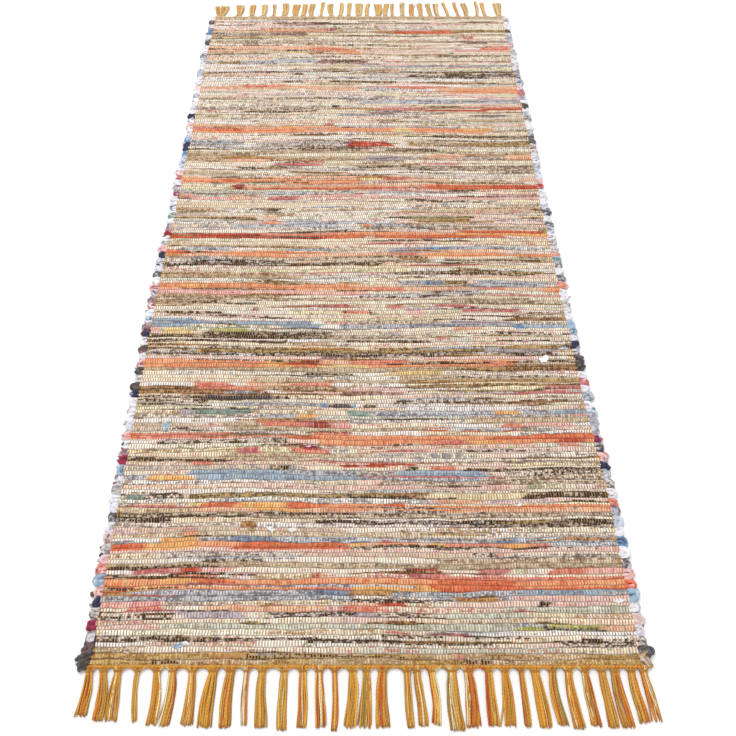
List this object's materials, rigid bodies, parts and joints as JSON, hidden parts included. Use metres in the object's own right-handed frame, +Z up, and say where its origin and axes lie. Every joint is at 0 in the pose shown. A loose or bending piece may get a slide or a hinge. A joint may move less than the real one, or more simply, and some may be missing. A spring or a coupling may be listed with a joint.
{
  "type": "rag rug",
  "caption": "Flat oblong floor rug: plain-woven cloth with crosswise ridges, looped long edges and a knotted tassel fringe at each end.",
  "frame": {"origin": "middle of the cloth's flat underside", "axes": "+Y along the rug's length towards the far fringe, +X across it, +Z up out of the upper side"},
  "size_m": [0.7235, 1.544, 0.0052],
  "materials": {
    "rag_cotton": "matte woven cotton rag strips",
    "warp_yarn": "matte spun cotton yarn"
  },
  "bodies": {
    "root": {"rag_cloth": "rag_cotton", "fringe_near": "warp_yarn", "fringe_far": "warp_yarn"}
  },
  "joints": []
}
